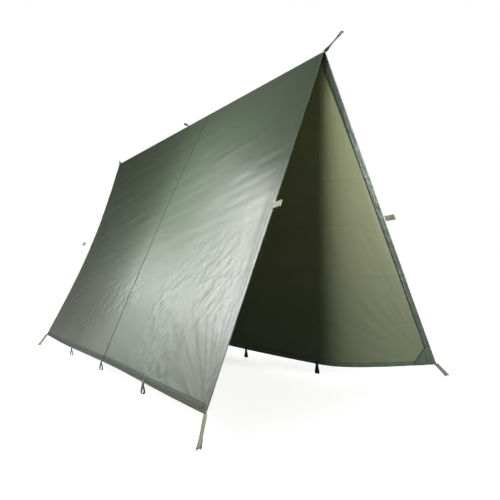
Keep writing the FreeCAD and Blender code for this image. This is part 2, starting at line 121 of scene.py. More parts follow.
class TarpWebbingSizes(bpy.types.PropertyGroup):
    """The webbing loops, the straps and the thread."""

    thickness: bpy.props.FloatProperty(
        name="Webbing thickness", description="Thickness of one layer of webbing",
        default=0.0014, min=0.0005, unit="LENGTH")
    stitch_pitch: bpy.props.FloatProperty(
        name="Stitch pitch", description="Distance from one stitch to the next",
        default=0.0052, min=0.002, unit="LENGTH")
    thread_width: bpy.props.FloatProperty(
        name="Thread width", description="Width of the sewing thread",
        default=0.0009, min=0.0002, unit="LENGTH")
    pale_colour: bpy.props.FloatVectorProperty(
        name="Pale webbing", description="Corner straps and edge tabs",
        subtype="COLOR", size=3, default=(0.34, 0.38, 0.26))
    dark_colour: bpy.props.FloatVectorProperty(
        name="Dark webbing", description="Hem loops and ridge straps",
        subtype="COLOR", size=3, default=(0.022, 0.026, 0.018))
    thread_colour: bpy.props.FloatVectorProperty(
        name="Thread", description="Sewing thread",
        subtype="COLOR", size=3, default=(0.050, 0.072, 0.044))
    tack_colour: bpy.props.FloatVectorProperty(
        name="Bar tack thread", description="Dense bar tack stitches",
        subtype="COLOR", size=3, default=(0.30, 0.36, 0.27))


class TarpStageSizes(bpy.types.PropertyGroup):
    """The floor, the lights and the camera."""

    sheen_light: bpy.props.FloatProperty(
        name="Softboxes", description="Power of the softboxes beside the left slope",
        default=96.0, min=0.0, unit="POWER")
    front_light: bpy.props.FloatProperty(
        name="Front light", description="Strength of the low light before the open end",
        default=4.9, min=0.0)
    side_light: bpy.props.FloatProperty(
        name="Side light", description="Strength of the light from the left",
        default=0.55, min=0.0)
    top_light: bpy.props.FloatProperty(
        name="Overhead light", description="Strength of the overhead light",
        default=0.12, min=0.0)
    back_light: bpy.props.FloatProperty(
        name="Back light", description="Strength of the light on the right slope",
        default=1.1, min=0.0)
    ambient: bpy.props.FloatProperty(
        name="Room light", description="Brightness of the pale room around",
        default=0.02, min=0.0)
    lens: bpy.props.FloatProperty(
        name="Lens", description="Focal length on a 36 mm sensor",
        default=28.94, min=10.0)


# ------------------------------------------------------------------ numbers and noise


def curve_through(values, at):
    """A smooth, never overshooting curve through one row of values per station."""
    values = np.asarray(values, float).reshape(len(values), -1)
    rise = np.diff(values, axis=0)
    slope = np.zeros_like(values)
    before, after = rise[:-1], rise[1:]
    same_way = before * after > 0
    total = np.where(same_way, before + after, 1.0)
    slope[1:-1] = np.where(same_way, 2 * before * after / total, 0.0)
    slope[0] = 1.5 * rise[0] - 0.5 * slope[1]
    slope[-1] = 1.5 * rise[-1] - 0.5 * slope[-2]
    flat = np.asarray(at, float)
    index = np.clip(np.floor(flat).astype(int), 0, len(values) - 2)
    t = (flat - index)[..., None]
    h = rise[index]
    bent = slope[index] * t * (1 - t) ** 2 - slope[index + 1] * t * t * (1 - t)
    return values[index] + h * t * t * (3 - 2 * t) + bent


def fade(t):
    """Rises smoothly from 0 to 1 as t does."""
    t = np.clip(t, 0.0, 1.0)
    return t * t * (3 - 2 * t)


def waves(x, y, seed):
    """Smooth noise from -1 to 1, one wave to a unit."""
    table = np.random.default_rng(seed).uniform(-1, 1, (64, 64))
    ix, iy = np.floor(x).astype(int), np.floor(y).astype(int)
    fx, fy = fade(x - ix), fade(y - iy)
    corner = [[table[(ix + i) % 64, (iy + j) % 64] for j in (0, 1)] for i in (0, 1)]
    near = corner[0][0] * (1 - fy) + corner[0][1] * fy
    far = corner[1][0] * (1 - fy) + corner[1][1] * fy
    return near * (1 - fx) + far * fx


def folds(x, y, seed):
    """Noise with narrow crests and broad hollows, as creased cloth has."""
    return 1 - 2 * np.abs(waves(x, y, seed)) ** 0.7


def turned(a, b, degrees, long, short):
    """Cloth coordinates along and across a direction, in wave lengths."""
    c, s = math.cos(math.radians(degrees)), math.sin(math.radians(degrees))
    return (a * c + b * s) / long, (b * c - a * s) / short


def unit_rows(vectors):
    return vectors / np.linalg.norm(vectors, axis=-1, keepdims=True)


# ------------------------------------------------------------------ the pitched slopes


def distinct_corners(node):
    """The separate corners of a CAD node's loose triangles."""
    points = np.array([v.co for v in node.data.vertices], float)
    return np.unique(points.round(5), axis=0)


def paired(row):
    """Middles of the pairs of inner and outer corners, from front to back."""
    row = row[np.argsort(row[:, 1])]
    return (row[0::2] + row[1::2]) / 2


class Slope:
    """One side of the tarp: a place for every spot on the cloth.

    station runs from 0 at the open front to 4 at the open back. share runs from -1 on
    the ridge line, over 0 where the cloth leaves the rolled crest, to 1 at the hem."""

    def __init__(self, side, cloth):
        self.side, self.cloth = side, cloth
        self.sign = -1.0 if side == "left" else 1.0
        low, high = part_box("ridge_crest_front")
        self.axis_x, self.axis_z = (low.x + high.x) / 2, low.z
        self.radius = high.z - low.z - cloth.thickness / 2
        tops, hems = [], []
        for half in ENDS:
            corners = distinct_corners(frame["nodes"][f"{side}_panel_{half}"])
            corners = corners[np.argsort(corners[:, 2])]
            hems.append(paired(corners[:6]))
            tops.append(paired(corners[-6:]))
        self.hem = self.joined(hems)
        self.top_y = self.joined(tops)[:, 1]
        self.hang = np.array(SAG_IN[side])

    @staticmethod
    def joined(halves):
        seam = (halves[0][2] + halves[1][0]) / 2
        return np.vstack([halves[0][:2], seam, halves[1][1:]])

    def bare(self, station, share):
        """The middle of the cloth without creases."""
        station, share = np.broadcast_arrays(station, share)
        hem = curve_through(self.hem, station)
        axis = np.empty_like(hem)
        axis[..., 0], axis[..., 2] = self.axis_x, self.axis_z
        axis[..., 1] = curve_through(self.top_y, station)[..., 0]
        run = hem - axis
        out = np.zeros_like(run)
        out[..., 0], out[..., 2] = -self.sign * run[..., 2], self.sign * run[..., 0]
        out = unit_rows(out)
        turn = np.arccos(np.clip(out[..., 2], -1, 1)) * np.clip(share + 1, 0, 1)
        rolled = axis.copy()
        rolled[..., 0] += self.radius * self.sign * np.sin(turn)
        rolled[..., 2] += self.radius * np.cos(turn)
        down = np.clip(share, 0, None)[..., None]
        bow = np.sin(np.pi * np.clip(share, 0, 1))[..., None]
        hang = curve_through(self.hang, station) * bow
        return rolled + (hem - axis - self.radius * out) * down - hang * out

    def outward(self, station, share):
        """Direction out of the bare cloth."""
        step, drop = 1e-3, 1e-3
        along = self.bare(station + step, share) - self.bare(station - step, share)
        down = self.bare(station, share + drop) - self.bare(station, share - drop)
        return unit_rows(np.cross(down, along)) * self.sign

    def spot(self, station, share, off=0.0):
        """The cloth's place, creases and all, and a distance out of its middle."""
        height = relief(self, station, share) + off
        normal = self.outward(station, share)
        return self.bare(station, share) + normal * np.asarray(height)[..., None]

    def inward(self, end, share, distance):
        """Stations at distances in from an open end, at one share of the ruling."""
        first = 0.0 if end == "front" else 4.0
        way = 1.0 if end == "front" else -1.0
        reach = np.linspace(0, 1.6, 90)
        line = self.bare(first + way * reach, np.full_like(reach, share))
        run = np.concatenate([[0], np.linalg.norm(np.diff(line, axis=0), axis=1).cumsum()])
        return first + way * np.interp(distance, run, reach)


# Shares of the slope at which the sheet was folded when packed, and stations likewise.
CROSS_CREASES = (0.366, 0.519, 0.680, 0.850)
LONG_CREASES = (0.72, 1.38, 2.66, 3.34)


def corner_fans(a, b):
    """Wrinkles that spread from the pulled corners and from the hem loops."""
    total = np.zeros_like(a)
    pulls = (
        (0.0, 0.0, 0.55, 0.7, 11), (SHEET_LENGTH, 0.0, 0.35, 0.6, 12),
        (0.0, SLOPE_LENGTH, 0.95, 1.0, 13), (SHEET_LENGTH, SLOPE_LENGTH, 0.55, 0.8, 14),
    )
    pulls += tuple((QUARTER * k, SLOPE_LENGTH, 0.20, 0.5, 20 + k) for k in (1, 2, 3))
    for at, down, reach, strength, seed in pulls:
        da, db = a - at, b - down
        r = np.hypot(da, db)
        angle = np.arctan2(db, da)
        lines = folds(angle * 11 + 40, r * 3, seed) + 0.5 * waves(angle * 25, r * 7, seed + 50)
        grown = r / (r + 0.10)
        total += strength * lines * grown * np.exp(-r / reach * 1.6)
    return total


def edge_distance(a):
    return np.minimum(a, SHEET_LENGTH - a)


def relief(slope, station, share):
    """Height of the cloth's creases, wrinkles and puckers over its smooth shape."""
    station, share = np.broadcast_arrays(np.asarray(station, float), np.asarray(share, float))
    cloth = slope.cloth
    near_side = slope.side == "left"
    seed = 0 if near_side else 300
    a, b = station * QUARTER, share * SLOPE_LENGTH
    from_hem, from_edge = SLOPE_LENGTH - b, np.maximum(edge_distance(a), 0)
    low = fade((share - 0.45) / 0.35)
    high = 1 - fade((share - 0.25) / 0.4)
    inside = fade(from_edge / 0.12) * fade(from_hem / 0.12)
    # broad billows and a slight sag between the ridge and the hem
    total = 0.0012 * waves(a / 0.55, b / 0.6, seed + 1) * inside
    total -= 0.005 * np.sin(np.pi * np.clip(share, 0, 1)) * inside
    # wrinkles from the corners, and crumpled cloth low down
    depth = cloth.wrinkle_depth
    total += depth * (0.60 if near_side else 0.50) * corner_fans(a, b)
    x, y = turned(a, b, 38 if near_side else 24, 0.085, 0.032)
    crumple = folds(x, y, seed + 2) * 0.6 + folds(x * 1.7, y * 1.9, seed + 3) * 0.3
    patchy = fade(0.5 + 0.9 * waves(a / 0.3, b / 0.3, seed + 4))
    total += depth * (0.80 if near_side else 0.16) * crumple * low * patchy * inside
    for at in (0.0, SHEET_LENGTH):
        near = np.hypot(a - at, from_hem)
        total += 0.0011 * np.exp(-((near / 0.10) ** 2)) * folds(a / 0.017, b / 0.021, seed + 14)
    # long shallow wrinkles that run beside the ridge
    x, y = turned(a, b, 9, 0.30, 0.042)
    total += depth * (0.34 if near_side else 0.09) * waves(x, y, seed + 5) * (0.35 + high)
    x, y = turned(a, b, 0, 0.05, 0.03)
    total += depth * 0.05 * waves(x, y, seed + 6)
    # packing creases
    for k, at in enumerate(CROSS_CREASES):
        wander = 0.004 * waves(a / 0.7, np.full_like(a, k), seed + 7)
        gap = np.abs(share - at - wander) * SLOPE_LENGTH
        uneven = 0.6 + 0.4 * waves(a / 0.25, np.full_like(a, k), seed + 8)
        sharp = np.exp(-gap / 0.011) * uneven
        total += (cloth.crease_depth * (0.16 if near_side else 0.85) * (1 if k % 2 else -1)
                  * sharp)
    for k, at in enumerate(LONG_CREASES):
        gap = np.abs(station - at) * QUARTER
        held = fade(0.5 + waves(b / 0.5, np.full_like(b, k), seed + 9))
        total += cloth.crease_depth * 0.10 * (1 if k % 2 else -1) * np.exp(-gap / 0.012) * held
    # puckers along the stitched hems and the centre seam
    pucker = cloth.pucker_depth
    x = a / 0.026 + 0.4 * waves(a / 0.09, b / 0.05, seed + 10)
    total += pucker * waves(x, b / 0.10, seed + 11) * np.exp(-((from_hem / 0.055) ** 2)) * 1.3
    y = b / 0.030
    total += pucker * waves(y, a / 0.08, seed + 12) * np.exp(-((from_edge / 0.050) ** 2))
    from_seam = np.abs(station - SEAM_STATION) * QUARTER
    total += (pucker * 0.8 * waves(b / 0.034, a / 0.06, seed + 13)
              * np.exp(-((from_seam / 0.04) ** 2)))
    # grooves that the stitching pulls in
    stitch_hem = np.exp(-(((from_hem - cloth.hem_width + HEM_STITCH) / 0.0035) ** 2))
    stitch_edge = np.exp(-(((from_edge - cloth.hem_width * EDGE_SHARE) / 0.0035) ** 2))
    total -= 0.0011 * stitch_hem + 0.0009 * stitch_edge
    total -= 0.0012 * np.exp(-((from_seam / 0.0045) ** 2))
    total += 0.0002 * np.exp(-(((from_seam - 0.011) / 0.006) ** 2))
    return total * fade(share / 0.03)


# ------------------------------------------------------------------ mesh helpers


def add_piece(name, points, faces, uv=None, finishes=(), slots=None):
    """An object at the origin with its place in its mesh, smooth shaded."""
    mesh = bpy.data.meshes.new(name)
    mesh.from_pydata(np.asarray(points).tolist(), [], np.asarray(faces).tolist())
    if uv is not None:
        corner = np.empty(len(mesh.loops), int)
        mesh.loops.foreach_get("vertex_index", corner)
        layer = mesh.uv_layers.new(name="cut")
        layer.data.foreach_set("uv", np.asarray(uv, float)[corner].astype(np.float32).ravel())
    for finish in finishes:
        mesh.materials.append(finish)
    if slots is not None:
        mesh.polygons.foreach_set("material_index", np.asarray(slots, np.int32))
    mesh.polygons.foreach_set("use_smooth", [True] * len(mesh.polygons))
    mesh.update()
    piece = bpy.data.objects.new(name, mesh)
    bpy.context.scene.collection.objects.link(piece)
    return piece


def shell(outer, inner, uv, way):
    """Points, faces, uv and face kinds (0 outer, 1 inner, 2 rim) of a thin closed sheet.

    way is a direction out of the first outer face."""
    rows, columns = outer.shape[:2]
    index = np.arange(rows * columns).reshape(rows, columns)
    a, b = index[:-1, :-1].ravel(), index[1:, :-1].ravel()
    c, d = index[1:, 1:].ravel(), index[:-1, 1:].ravel()
    front = np.stack([a, b, c, d], 1)
    back = np.stack([d, c, b, a], 1) + rows * columns
    ring = np.concatenate([index[0, :-1], index[:-1, -1], index[-1, :0:-1], index[:0:-1, 0]])
    after = np.roll(ring, -1)
    rim = np.stack([ring, after, after + rows * columns, ring + rows * columns], 1)
    faces = np.concatenate([front, back, rim])
    points = np.concatenate([outer.reshape(-1, 3), inner.reshape(-1, 3)])
    p = points[front[0]]
    if np.dot(np.cross(p[1] - p[0], p[2] - p[1]), way) < 0:
        faces = faces[:, ::-1]
    kinds = np.concatenate([np.zeros(len(front)), np.ones(len(back)), np.full(len(rim), 2)])
    flat = uv.reshape(-1, 2)
    return points, faces, np.concatenate([flat, flat]), kinds.astype(int)


def layer_on(slope, name, station, share, near, far, finishes, kinds_to_slots=(0, 0, 0)):
    """A thin piece that lies on the cloth between two distances out of its middle."""
    station, share = np.broadcast_arrays(station, share)
    uv = np.stack([station * QUARTER, share * SLOPE_LENGTH], -1)
    outer = slope.spot(station, share, far)
    inner = slope.spot(station, share, near)
    way = slope.outward(station[:1, :1], share[:1, :1])[0, 0]
    points, faces, flat, kinds = shell(outer, inner, uv, way)
    slots = np.asarray(kinds_to_slots)[kinds]
    return add_piece(name, points, faces, flat, finishes, slots)


def even(low, high, step):
    return np.linspace(low, high, max(2, int(round(abs(high - low) / step)) + 1))


def merged(*runs):
    """Sorted values with near doubles dropped."""
    values = np.sort(np.concatenate([np.atleast_1d(r) for r in runs]))
    keep = np.concatenate([[True], np.diff(values) > 4e-4])
    return values[keep]


def cloth_rows():
    """Shares of the rulings, closer together at the crest, creases, stitches and hem."""
    rolled = np.linspace(-1, 0, 7)
    down = even(0.0, 1.0, CLOTH_STEP / SLOPE_LENGTH)
    close = [at + np.array([-11, -7, -4, -2, 0, 2, 4, 7, 11]) * 1e-3 / SLOPE_LENGTH
             for at in CROSS_CREASES]
    hem = np.array([0, 2, 5, 9, 13, 18, 23, 27, 30, 32, 34, 36, 38, 41, 45, 50])
    low = 1 - hem * 1e-3 / SLOPE_LENGTH
    down = down[down < low.min() - 1e-3]
    for spots in close:
        down = down[np.abs(down - spots[4]) > 12e-3 / SLOPE_LENGTH]
    return merged(rolled, down, low, *close)


# ------------------------------------------------------------------ finishes


class Nodes:
    """Short hand for a material's nodes."""

    def __init__(self, name):
        self.material = bpy.data.materials.new(name)
        self.material.use_nodes = True
        self.tree = self.material.node_tree
        self.shader = next(n for n in self.tree.nodes if n.type == "BSDF_PRINCIPLED")

    def add(self, kind, links=None, **values):
        node = self.tree.nodes.new(kind)
        for key, value in values.items():
            if hasattr(node, key):
                setattr(node, key, value)
            else:
                node.inputs[key.replace("_", " ").title()].default_value = value
        for socket, source in (links or {}).items():
            self.tree.links.new(source, node.inputs[socket])
        return node

    def link(self, source, target):
        self.tree.links.new(source, target)


def tinted(n, place, colour, low, high, **noise):
    """A colour that wanders between two brightnesses."""
    patchy = n.add("ShaderNodeTexNoise", {"Vector": place.outputs["Object"]}, **noise)
    tint = n.add("ShaderNodeMix", {"Factor": patchy.outputs["Fac"]}, data_type="RGBA")
    tint.inputs[6].default_value = shade(colour, low)
    tint.inputs[7].default_value = shade(colour, high)
    return tint


def bumped(n, height, strength, distance, under=None):
    """Fine relief in the finish, laid over another when there is one."""
    links = {"Height": height}
    if under:
        links["Normal"] = under
    bump = n.add("ShaderNodeBump", links)
    bump.inputs["Strength"].default_value = strength
    bump.inputs["Distance"].default_value = distance
    return bump.outputs["Normal"]


def set_shader(shader, **values):
    for key, value in values.items():
        shader.inputs[key.replace("_", " ")].default_value = value


def shade(colour, factor):
    return tuple(min(1.0, c * factor) for c in colour) + (1.0,)


def cloth_finish(name, colour, roughness, coat, variation, crinkle, grain=55.0, painted_light_by_height=()):
    """Woven cloth with a coating: fine weave, small crinkles and uneven gloss."""
    n = Nodes(name)
    place = n.add("ShaderNodeTexCoord")
    tint = tinted(n, place, colour, 1 - variation, 1 + variation,
                  Scale=2.2, Detail=5.0, Roughness=0.6)
    # painted light and shade: the colour is multiplied by a ramp over height, darker towards the
    # hem and paler towards the ridge
    if painted_light_by_height:
        height = n.add("ShaderNodeSeparateXYZ", {"Vector": place.outputs["Object"]})
        share = n.add("ShaderNodeMapRange", {"Value": height.outputs["Z"]})
        share.inputs["From Max"].default_value = 2.0
        painted_light_ramp = n.add("ShaderNodeValToRGB", {"Fac": share.outputs["Result"]})
        painted_light_ramp.color_ramp.elements.remove(painted_light_ramp.color_ramp.elements[1])
        for k, (at, factors) in enumerate(painted_light_by_height):
            spot = painted_light_ramp.color_ramp.elements[0] if k == 0 else painted_light_ramp.color_ramp.elements.new(at)
            spot.position, spot.color = at, (*factors, 1)
        painted_light_mix = n.add("ShaderNodeMix", data_type="RGBA", blend_type="MULTIPLY")
        painted_light_mix.inputs[0].default_value = 1.0
        n.link(tint.outputs[2], painted_light_mix.inputs[6])
        n.link(painted_light_ramp.outputs["Color"], painted_light_mix.inputs[7])
        tint = painted_light_mix
    n.link(tint.outputs[2], n.shader.inputs["Base Color"])
    gloss = n.add("ShaderNodeTexNoise", {"Vector": place.outputs["Object"]},
                  Scale=14.0, Detail=4.0)
    spread = n.add("ShaderNodeMapRange", {"Value": gloss.outputs["Fac"]})
    spread.inputs["To Min"].default_value = roughness - 0.05
    spread.inputs["To Max"].default_value = roughness + 0.06
    n.link(spread.outputs["Result"], n.shader.inputs["Roughness"])
    threads = []
    for direction in ("X", "Y"):
        band = n.add("ShaderNodeTexWave", {"Vector": place.outputs["UV"]},
                     wave_type="BANDS", bands_direction=direction, Scale=210.0)
        threads.append(band.outputs["Fac"])
    woven = n.add("ShaderNodeMath", operation="MULTIPLY")
    n.link(threads[0], woven.inputs[0])
    n.link(threads[1], woven.inputs[1])
    fine = n.add("ShaderNodeTexNoise", {"Vector": place.outputs["Object"]},
                 Scale=grain, Detail=6.0, Roughness=0.55)
    threads_relief = bumped(n, woven.outputs[0], 0.05, 0.0004)
    n.link(bumped(n, fine.outputs["Fac"], crinkle, 0.004, threads_relief),
           n.shader.inputs["Normal"])
    set_shader(n.shader, Specular_IOR_Level=0.5, Coat_Weight=coat, Coat_Roughness=0.36)
    return n.material


def webbing_finish(name, colour, tip):
    """Ribbed woven tape, darker towards the end of its loop: melted edges there, with painted
    shade.
    """
    n = Nodes(name)
    place = n.add("ShaderNodeTexCoord")
    rib = n.add("ShaderNodeTexWave", {"Vector": place.outputs["UV"]},
                wave_type="BANDS", bands_direction="X", Scale=60.0, Distortion=0.6, Detail=1.0)
    pick = n.add("ShaderNodeTexWave", {"Vector": place.outputs["UV"]},
                 wave_type="BANDS", bands_direction="Y", Scale=130.0)
    tint = tinted(n, place, colour, 0.72, 1.22, Scale=90.0, Detail=4.0)
    lines = n.add("ShaderNodeMix", {"Factor": rib.outputs["Fac"]}, data_type="RGBA",
                  blend_type="MULTIPLY")
    n.link(tint.outputs[2], lines.inputs[6])
    lines.inputs[7].default_value = (0.72, 0.74, 0.70, 1)
    # melted edges with painted shade: the tape mixes to the tip colour towards the end of its loop
    split = n.add("ShaderNodeSeparateXYZ", {"Vector": place.outputs["UV"]})
    end = n.add("ShaderNodeMapRange", {"Value": split.outputs["Y"]})
    end.inputs["From Min"].default_value = -0.004
    end.inputs["From Max"].default_value = -0.009
    dark = n.add("ShaderNodeMix", {"Factor": end.outputs["Result"]}, data_type="RGBA")
    n.link(lines.outputs[2], dark.inputs[6])
    dark.inputs[7].default_value = shade(tip, 1.0)
    n.link(dark.outputs[2], n.shader.inputs["Base Color"])
    weave = n.add("ShaderNodeMath", operation="MULTIPLY")
    n.link(rib.outputs["Fac"], weave.inputs[0])
    n.link(pick.outputs["Fac"], weave.inputs[1])
    n.link(bumped(n, weave.outputs[0], 0.5, 0.0006), n.shader.inputs["Normal"])
    set_shader(n.shader, Roughness=0.62, Sheen_Weight=0.25, Sheen_Roughness=0.5)
    return n.material


def thread_finish(name, colour):
    """Twisted polyester thread."""
    n = Nodes(name)
    place = n.add("ShaderNodeTexCoord")
    tint = tinted(n, place, colour, 0.7, 1.35, Scale=700.0, Detail=2.0)
    n.link(tint.outputs[2], n.shader.inputs["Base Color"])
    set_shader(n.shader, Roughness=0.45, Sheen_Weight=0.3)
    return n.material


def floor_finish():
    """Pale matt studio floor, bright to look at and quiet in what it throws back."""
    n = Nodes("studio_floor")
    place = n.add("ShaderNodeTexCoord")
    grain = n.add("ShaderNodeTexNoise", {"Vector": place.outputs["Object"]}, Scale=0.6)
    tint = n.add("ShaderNodeMix", {"Factor": grain.outputs["Fac"]}, data_type="RGBA")
    tint.inputs[6].default_value = (0.90, 0.90, 0.89, 1)
    tint.inputs[7].default_value = (0.93, 0.93, 0.92, 1)
    n.link(tint.outputs[2], n.shader.inputs["Base Color"])
    set_shader(n.shader, Roughness=0.9, Specular_IOR_Level=0.1,
               Emission_Color=(1, 1, 1, 1), Emission_Strength=0.62)
    quiet = n.add("ShaderNodeBsdfDiffuse")
    quiet.inputs["Color"].default_value = (0.30, 0.30, 0.29, 1)
    out = next(node for node in n.tree.nodes if node.type == "OUTPUT_MATERIAL")
    n.link(camera_only(n.tree, n.shader.outputs[0], quiet.outputs[0]), out.inputs["Surface"])
    return n.material


# painted light and shade on the inner face, by height: darker towards the hem, paler towards the
# ridge; height share, then red, green and blue
INNER_PAINTED_LIGHT = ((0.0, (0.42, 0.45, 0.47)), (0.22, (0.52, 0.55, 0.57)),
                (0.55, (0.84, 0.83, 0.86)), (0.86, (0.98, 1.0, 1.0)))

FINISHES = {}


def make_finishes(cloth, webbing):
    FINISHES.update(
        outer=cloth_finish("coated_outer_cloth", cloth.outer_colour, 0.37, 0.35, 0.10, 0.05),
        inner=cloth_finish("plain_inner_cloth", cloth.inner_colour, 0.62, 0.0, 0.07, 0.08,
                           painted_light_by_height=INNER_PAINTED_LIGHT),
        # a nearly black finish for the strip over the centre seam: painted shade of the seam's lap
        lap=cloth_finish("seam_lap_cloth", shade(cloth.facing_colour, 0.14)[:3],
                         0.8, 0.0, 0.1, 0.1),
        facing=cloth_finish("double_hem_cloth", cloth.facing_colour, 0.36, 0.4, 0.55, 1.0,
                            grain=38.0),
        # the outer face along the hem: the same coated cloth painted 0.55 as dark, painted shade
        # along the puckered hem
        hem=cloth_finish("outer_hem_painted_shade_cloth", shade(cloth.outer_colour, 0.55)[:3],
                         0.5, 0.0, 0.4, 0.6, grain=45.0),
        # the last colours are the loop ends' tips: melted edges with painted shade
        pale=webbing_finish("pale_webbing", webbing.pale_colour, (0.02, 0.022, 0.018)),
        dark=webbing_finish("dark_webbing", webbing.dark_colour, (0.01, 0.012, 0.009)),
        thread=thread_finish("seam_thread", webbing.thread_colour),
        tack=thread_finish("bar_tack_thread", webbing.tack_colour))


# ------------------------------------------------------------------ baking


def follow_slope(piece):
    """Bakes the piece's transform into its mesh."""
    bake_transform(piece)


# ------------------------------------------------------------------ cloth


def slope_of(side):
    return Slope(side, bpy.context.scene.tarp_cloth)


def make_width(side, half):
    """One width of cloth, from the ridge line to the hem."""
    slope = slope_of(side)
    rows = cloth_rows()
    edge = np.array([0, 2, 5, 9, 13, 17, 19, 21, 23, 26, 30, 34, 39, 45]) * 1e-3 / QUARTER
    seam = np.array([0.6, 2, 3.5, 5, 7, 9, 11, 13, 16, 20]) * 1e-3 / QUARTER
    if half == "front":
        first, last = edge, SEAM_STATION - seam
    else:
        first, last = 4.0 - edge, SEAM_STATION + seam
    low, high = sorted((first[-1], last[-1]))
    inner = even(low, high, CLOTH_STEP / QUARTER)[1:-1]
    columns = np.sort(np.concatenate([first, last, inner]))
    station, share = np.meshgrid(columns, rows)
    half_thick = slope.cloth.thickness / 2
    piece = layer_on(slope, f"{side}_cloth_{half}", station, share, -half_thick, half_thick,
                     (FINISHES["outer"], FINISHES["inner"], FINISHES["hem"]), (0, 1, 0))
    # outer faces in the hem band take the hem finish: the outer cloth painted darker, as painted
    # shade
    middles = np.repeat((rows[1:] + rows[:-1]) / 2, len(columns) - 1)
    slots = np.array([face.material_index for face in piece.data.polygons])
    slots[:len(middles)][middles > 1 - (slope.cloth.hem_width - HEM_STITCH) / SLOPE_LENGTH] = 2
    piece.data.polygons.foreach_set("material_index", slots)
    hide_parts(f"{side}_panel_{half}", f"ridge_crest_{half}")
    follow_slope(piece)
    return piece


def shares_down(high, low, step):
    """Shares from one on the crest, over the place where the cloth leaves it, to a lower one."""
    return np.concatenate([np.linspace(high, 0, 5)[:-1], even(0, low, step / SLOPE_LENGTH)])


def strip_down(slope, name, end, first, last, near, far, low_share, high_share):
    """A strip beside an open edge, between two distances in from it."""
    shares = shares_down(high_share, low_share, 0.007)
    distances = even(first, last, HEM_STEP)
    station = np.array([slope.inward(end, share, distances) for share in shares])
    share = np.repeat(shares[:, None], len(distances), 1)
    return layer_on(slope, name, station, share, near, far, (FINISHES["facing"],))


def make_hems(side):
    """The turned hems and the felled centre seam on the inner face, and a dark strip over the seam
    outside: painted shade of the seam's lap.
    """
    slope = slope_of(side)
    cloth = slope.cloth
    under = -cloth.thickness / 2 - 0.0003
    made = []
    depth = even(0.0006, cloth.hem_width, HEM_STEP)
    station, share = np.meshgrid(even(0.0, 4.0, 0.0085 / QUARTER), 1 - depth / SLOPE_LENGTH)
    facing = (FINISHES["facing"],)
    hem = layer_on(slope, f"{side}_hem_fold", station, share, under - 0.0012, under, facing)
    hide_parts(f"{side}_bottom_hem")
    made.append(hem)
    for end in ENDS:
        low = 1 - (cloth.hem_width * 0.4) / SLOPE_LENGTH
        strip = strip_down(slope, f"{side}_{end}_edge_fold", end, 0.0006, cloth.hem_width * 0.98,
                           under - 0.0024, under - 0.0013, low, -0.9)
        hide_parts(f"{side}_{end}_hem")
        made.append(strip)
    across = np.linspace(-cloth.seam_width / 2, cloth.seam_width / 2, 6) / QUARTER
    shares = shares_down(-0.9, 1 - cloth.hem_width / SLOPE_LENGTH, 0.008)
    station, share = np.meshgrid(SEAM_STATION + across, shares)
    seam = layer_on(slope, f"{side}_felled_seam", station, share,
                    under - 0.0022, under - 0.0006, facing)
    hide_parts(f"{side}_centre_seam")
    made.append(seam)
    # a nearly black strip along the seam on the outer face: painted shade where the seam's lap
    # shades the cloth
    across = np.linspace(-0.0042, 0.0042, 4) / QUARTER
    shares = shares_down(-0.9, 1, 0.006)
    station, share = np.meshgrid(SEAM_STATION + across, shares)
    skin = cloth.thickness / 2
    made.append(layer_on(slope, f"{side}_seam_lap", station, share,
                         skin - 0.0002, skin + 0.0005, (FINISHES["lap"],)))
    for piece in made:
        follow_slope(piece)
    return made


def make_corner_layers(side):
    """Three-sided reinforcement inside each corner."""
    slope = slope_of(side)
    leg = slope.cloth.patch_leg
    under = -slope.cloth.thickness / 2 - 0.0028
    count = 22
    made = []
    for end in ENDS:
        rows = []
        for up in np.linspace(0.001, 0.999, count):
            share = 1 - up * leg / SLOPE_LENGTH
            distances = np.linspace(0.001, max(leg * (1 - up), 0.002), count)
            rows.append((slope.inward(end, share, distances), np.full(count, share)))
        station = np.array([r[0] for r in rows])
        share = np.array([r[1] for r in rows])
        piece = layer_on(slope, f"{side}_{end}_corner_layer", station, share,
                         under - 0.0012, under, (FINISHES["facing"],))
        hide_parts(f"{side}_{end}_corner_patch")
        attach(piece, f"{side}_slope")
        made.append(piece)
    return made


def make_ridge_layers():
    """The reinforcements and the seam that line the rolled crest."""
    slope = slope_of("left")
    made = []
    for node in ("ridge_front_patch", "ridge_middle_patch", "ridge_back_patch", "ridge_seam_strip"):
        low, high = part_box(node)
        angle, y = np.meshgrid(np.radians(np.linspace(-78, 78, 15)), even(low.y, high.y, 0.006))
        ripple = 0.0002 * waves(y / 0.012, angle * 3, 77)
        faces = []
        for radius in (slope.radius - 0.0009, slope.radius - 0.0021):
            r = radius + ripple
            faces.append(np.stack([slope.axis_x + r * np.sin(angle), y,
                                   slope.axis_z + r * np.cos(angle)], -1))
        uv = np.stack([angle * slope.radius, y], -1)
        points, quads, flat, kinds = shell(faces[0], faces[1], uv, (-1, 0, 0.2))
        name = node.replace("patch", "layer").replace("strip", "layer")
        piece = add_piece(name, points, quads, flat, (FINISHES["facing"],))
        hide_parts(node)
        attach(piece, "ridge")
        made.append(piece)
    return made


# ------------------------------------------------------------------ stitching

# one stitch: a flattened lozenge of thread, lying along X with Z out of the cloth
STITCH_POINTS = np.array([
    (-0.5, 0, 0), (-0.25, -0.5, 0.1), (-0.25, 0.5, 0.1), (-0.2, 0, 0.55),
    (0.25, -0.5, 0.1), (0.25, 0.5, 0.1), (0.2, 0, 0.55), (0.5, 0, 0), (0, 0, -0.45)])
STITCH_FACES = np.array([
    (0, 1, 3), (0, 3, 2), (1, 4, 3), (4, 6, 3), (3, 6, 2), (6, 5, 2), (4, 7, 6),
    (6, 7, 5), (1, 0, 8), (0, 2, 8), (1, 8, 4), (2, 5, 8), (4, 8, 7), (8, 5, 7)])


